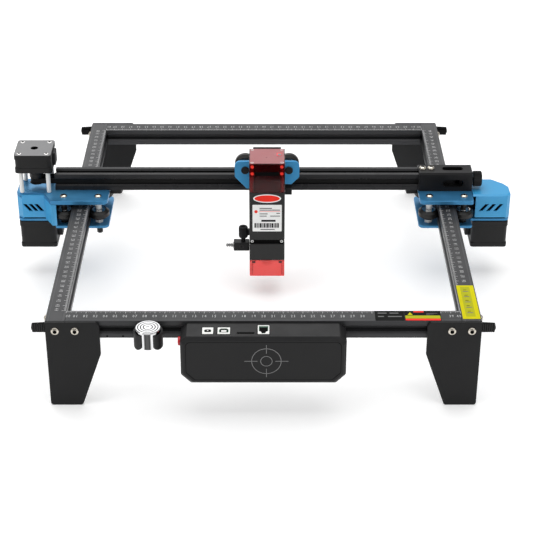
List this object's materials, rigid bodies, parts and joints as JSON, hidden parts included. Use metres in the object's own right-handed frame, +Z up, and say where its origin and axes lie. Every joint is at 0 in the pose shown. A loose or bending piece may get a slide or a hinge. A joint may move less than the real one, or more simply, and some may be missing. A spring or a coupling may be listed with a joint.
{
  "type": "desktop laser cutter",
  "caption": "Desktop laser cutter: open frame of slotted extrusion on leg plates, belt-driven gantry, laser module on a rolling carriage, control box at the front.",
  "frame": {"origin": "middle of the footprint, on the surface the legs stand on", "axes": "+X to the right along the front bar, +Y from the control box to the back, +Z up"},
  "size_m": [0.57, 0.515, 0.171],
  "materials": {
    "black_anodised": "black anodised extrusion, fine satin with die lines",
    "black_paint": "black powder coat, fine texture",
    "belt_rubber": "toothed neoprene belt",
    "black_plastic": "black moulded ABS, fine spark texture",
    "circuit_board": "green solder mask",
    "red_plastic": "red moulded button",
    "bright_steel": "bright turned steel",
    "blue_anodised": "blue anodised plate, satin",
    "blue_plastic": "blue moulded ABS, semi-gloss",
    "pulley_metal": "machined metal",
    "black_steel": "knurled steel, blackened",
    "white_plastic": "white nylon, used by spacers and sockets",
    "printed_film": "printed film and scale ink on the labels and rails",
    "wheel_plastic": "black polycarbonate wheel",
    "red_clear": "red translucent acrylic",
    "lens_brass": "turned brass"
  },
  "bodies": {
    "frame": {"front_bar": "black_anodised", "rear_bar": "black_anodised", "left_rail": "black_anodised", "right_rail": "black_anodised", "leg_front_left": "black_paint", "leg_front_right": "black_paint", "leg_rear_left": "black_paint", "leg_rear_right": "black_paint", "y_belt_left": "belt_rubber", "y_belt_right": "belt_rubber", "control_box_shell": "black_plastic", "control_box_back": "black_paint", "control_board": "circuit_board", "cylinder_clip": "black_plastic"},
    "power_button": {"power_button": "red_plastic"},
    "focus_cylinder": {"focus_cylinder": "bright_steel"},
    "gantry": {"left_upper_plate": "blue_anodised", "right_upper_plate": "blue_anodised", "left_lower_plate": "blue_anodised", "right_lower_plate": "blue_anodised", "left_cover": "blue_plastic", "right_cover": "blue_plastic", "y_motor_left": "black_paint", "y_motor_right": "black_paint", "y_belt_loop_left": "belt_rubber", "y_belt_loop_right": "belt_rubber", "x_beam": "black_anodised", "x_motor": "black_paint", "x_belt": "belt_rubber", "tensioner_body": "black_anodised", "standoff_front_left": "bright_steel", "standoff_front_right": "bright_steel", "standoff_rear_left": "bright_steel", "standoff_rear_right": "bright_steel"},
    "laser_carriage": {"laser_carriage_plate": "blue_anodised", "focus_slide_rail": "black_anodised"},
    "laser_module": {"laser_body": "black_anodised", "laser_top_cover": "red_clear", "laser_shield": "red_clear", "lens_barrel": "lens_brass", "air_nozzle": "black_anodised"},
    "tension_yoke": {"tension_yoke": "black_anodised"},
    "y_wheel_left_inner_front": {"y_wheel_left_inner_front": "wheel_plastic"},
    "y_wheel_left_inner_rear": {"y_wheel_left_inner_rear": "wheel_plastic"},
    "y_wheel_left_outer_front": {"y_wheel_left_outer_front": "wheel_plastic"},
    "y_wheel_left_outer_rear": {"y_wheel_left_outer_rear": "wheel_plastic"},
    "y_wheel_right_inner_front": {"y_wheel_right_inner_front": "wheel_plastic"},
    "y_wheel_right_inner_rear": {"y_wheel_right_inner_rear": "wheel_plastic"},
    "y_wheel_right_outer_front": {"y_wheel_right_outer_front": "wheel_plastic"},
    "y_wheel_right_outer_rear": {"y_wheel_right_outer_rear": "wheel_plastic"},
    "x_wheel_upper_left": {"x_wheel_upper_left": "wheel_plastic"},
    "x_wheel_upper_right": {"x_wheel_upper_right": "wheel_plastic"},
    "x_wheel_lower": {"x_wheel_lower": "wheel_plastic"},
    "y_pulley_left": {"y_pulley_left": "pulley_metal"},
    "y_pulley_right": {"y_pulley_right": "pulley_metal"},
    "x_pulley": {"x_pulley": "pulley_metal"},
    "idler_pulley": {"idler_pulley": "pulley_metal"},
    "tensioner_knob": {"tensioner_knob": "black_steel"},
    "cooling_fan": {"cooling_fan": "black_plastic"},
    "thumb_screw": {"thumb_screw": "black_anodised"}
  },
  "joints": [
    {"name": "gantry_slide", "type": "slide", "parent": "frame", "child": "gantry", "axis": [0, 1, 0], "range_m": [-0.195, 0.13]},
    {"name": "laser_carriage_slide", "type": "slide", "parent": "gantry", "child": "laser_carriage", "axis": [1, 0, 0], "range_m": [-0.155, 0.13]},
    {"name": "focus_slide", "type": "slide", "parent": "laser_carriage", "child": "laser_module", "axis": [0, 0, 1], "range_m": [-0.02, 0.03]},
    {"name": "power_button_press", "type": "slide", "parent": "frame", "child": "power_button", "axis": [1, 0, 0], "range_m": [0, 0.002], "stiffness_N_per_m": 400},
    {"name": "focus_cylinder_lift", "type": "slide", "parent": "frame", "child": "focus_cylinder", "axis": [0, 0, 1], "range_m": [0, 0.06]},
    {"name": "y_wheel_left_inner_front_spin", "type": "hinge", "parent": "gantry", "child": "y_wheel_left_inner_front", "pos_m": [-0.1902, 0.02595, 0.09], "axis": [0, 0, 1], "continuous": true},
    {"name": "y_wheel_left_inner_rear_spin", "type": "hinge", "parent": "gantry", "child": "y_wheel_left_inner_rear", "pos_m": [-0.1902, 0.07795, 0.09], "axis": [0, 0, 1], "continuous": true},
    {"name": "y_wheel_left_outer_front_spin", "type": "hinge", "parent": "gantry", "child": "y_wheel_left_outer_front", "pos_m": [-0.2298, 0.02595, 0.09], "axis": [0, 0, 1], "continuous": true},
    {"name": "y_wheel_left_outer_rear_spin", "type": "hinge", "parent": "gantry", "child": "y_wheel_left_outer_rear", "pos_m": [-0.2298, 0.07795, 0.09], "axis": [0, 0, 1], "continuous": true},
    {"name": "y_wheel_right_inner_front_spin", "type": "hinge", "parent": "gantry", "child": "y_wheel_right_inner_front", "pos_m": [0.1902, 0.02595, 0.09], "axis": [0, 0, 1], "continuous": true},
    {"name": "y_wheel_right_inner_rear_spin", "type": "hinge", "parent": "gantry", "child": "y_wheel_right_inner_rear", "pos_m": [0.1902, 0.07795, 0.09], "axis": [0, 0, 1], "continuous": true},
    {"name": "y_wheel_right_outer_front_spin", "type": "hinge", "parent": "gantry", "child": "y_wheel_right_outer_front", "pos_m": [0.2298, 0.02595, 0.09], "axis": [0, 0, 1], "continuous": true},
    {"name": "y_wheel_right_outer_rear_spin", "type": "hinge", "parent": "gantry", "child": "y_wheel_right_outer_rear", "pos_m": [0.2298, 0.07795, 0.09], "axis": [0, 0, 1], "continuous": true},
    {"name": "y_pulley_left_spin", "type": "hinge", "parent": "gantry", "child": "y_pulley_left", "pos_m": [-0.263, 0.05195, 0.09], "axis": [0, 0, 1], "continuous": true},
    {"name": "y_pulley_right_spin", "type": "hinge", "parent": "gantry", "child": "y_pulley_right", "pos_m": [0.263, 0.05195, 0.09], "axis": [0, 0, 1], "continuous": true},
    {"name": "x_pulley_spin", "type": "hinge", "parent": "gantry", "child": "x_pulley", "pos_m": [-0.263, 0.05195, 0.121], "axis": [0, 0, 1], "continuous": true},
    {"name": "tension_yoke_slide", "type": "slide", "parent": "gantry", "child": "tension_yoke", "axis": [1, 0, 0], "range_m": [-0.0014, 0]},
    {"name": "tensioner_knob_turn", "type": "hinge", "parent": "gantry", "child": "tensioner_knob", "pos_m": [0.247, 0.05195, 0.121], "axis": [1, 0, 0], "range_deg": [-720, 0]},
    {"name": "idler_pulley_spin", "type": "hinge", "parent": "tension_yoke", "child": "idler_pulley", "pos_m": [0.216, 0.05195, 0.121], "axis": [0, 0, 1], "continuous": true},
    {"name": "x_wheel_upper_left_spin", "type": "hinge", "parent": "laser_carriage", "child": "x_wheel_upper_left", "pos_m": [-0.0213, 0.05195, 0.1408], "axis": [0, 1, 0], "continuous": true},
    {"name": "x_wheel_upper_right_spin", "type": "hinge", "parent": "laser_carriage", "child": "x_wheel_upper_right", "pos_m": [0.0287, 0.05195, 0.1408], "axis": [0, 1, 0], "continuous": true},
    {"name": "x_wheel_lower_spin", "type": "hinge", "parent": "laser_carriage", "child": "x_wheel_lower", "pos_m": [0.0037, 0.05195, 0.1012], "axis": [0, 1, 0], "continuous": true},
    {"name": "cooling_fan_spin", "type": "hinge", "parent": "laser_module", "child": "cooling_fan", "pos_m": [0.0037, 0.00795, 0.1423], "axis": [0, 0, 1], "continuous": true},
    {"name": "thumb_screw_turn", "type": "hinge", "parent": "laser_module", "child": "thumb_screw", "pos_m": [-0.0235, 0.00395, 0.075], "axis": [0, 0, 1], "continuous": true}
  ],
  "couplings": [
    {"joint": "y_wheel_left_inner_front_spin", "follows": "gantry_slide", "rad_per_m": 102.04},
    {"joint": "y_wheel_left_inner_rear_spin", "follows": "gantry_slide", "rad_per_m": 102.04},
    {"joint": "y_wheel_left_outer_front_spin", "follows": "gantry_slide", "rad_per_m": -102.04},
    {"joint": "y_wheel_left_outer_rear_spin", "follows": "gantry_slide", "rad_per_m": -102.04},
    {"joint": "y_wheel_right_inner_front_spin", "follows": "gantry_slide", "rad_per_m": -102.04},
    {"joint": "y_wheel_right_inner_rear_spin", "follows": "gantry_slide", "rad_per_m": -102.04},
    {"joint": "y_wheel_right_outer_front_spin", "follows": "gantry_slide", "rad_per_m": 102.04},
    {"joint": "y_wheel_right_outer_rear_spin", "follows": "gantry_slide", "rad_per_m": 102.04},
    {"joint": "y_pulley_left_spin", "follows": "gantry_slide", "rad_per_m": 156.25},
    {"joint": "y_pulley_right_spin", "follows": "gantry_slide", "rad_per_m": -156.25},
    {"joint": "x_pulley_spin", "follows": "laser_carriage_slide", "rad_per_m": 156.25},
    {"joint": "tension_yoke_slide", "follows": "tensioner_knob_turn", "m_per_rad": 0.0001114},
    {"joint": "idler_pulley_spin", "follows": "laser_carriage_slide", "rad_per_m": 156.25},
    {"joint": "x_wheel_upper_left_spin", "follows": "laser_carriage_slide", "rad_per_m": 102.04},
    {"joint": "x_wheel_upper_right_spin", "follows": "laser_carriage_slide", "rad_per_m": 102.04},
    {"joint": "x_wheel_lower_spin", "follows": "laser_carriage_slide", "rad_per_m": -102.04}
  ]
}
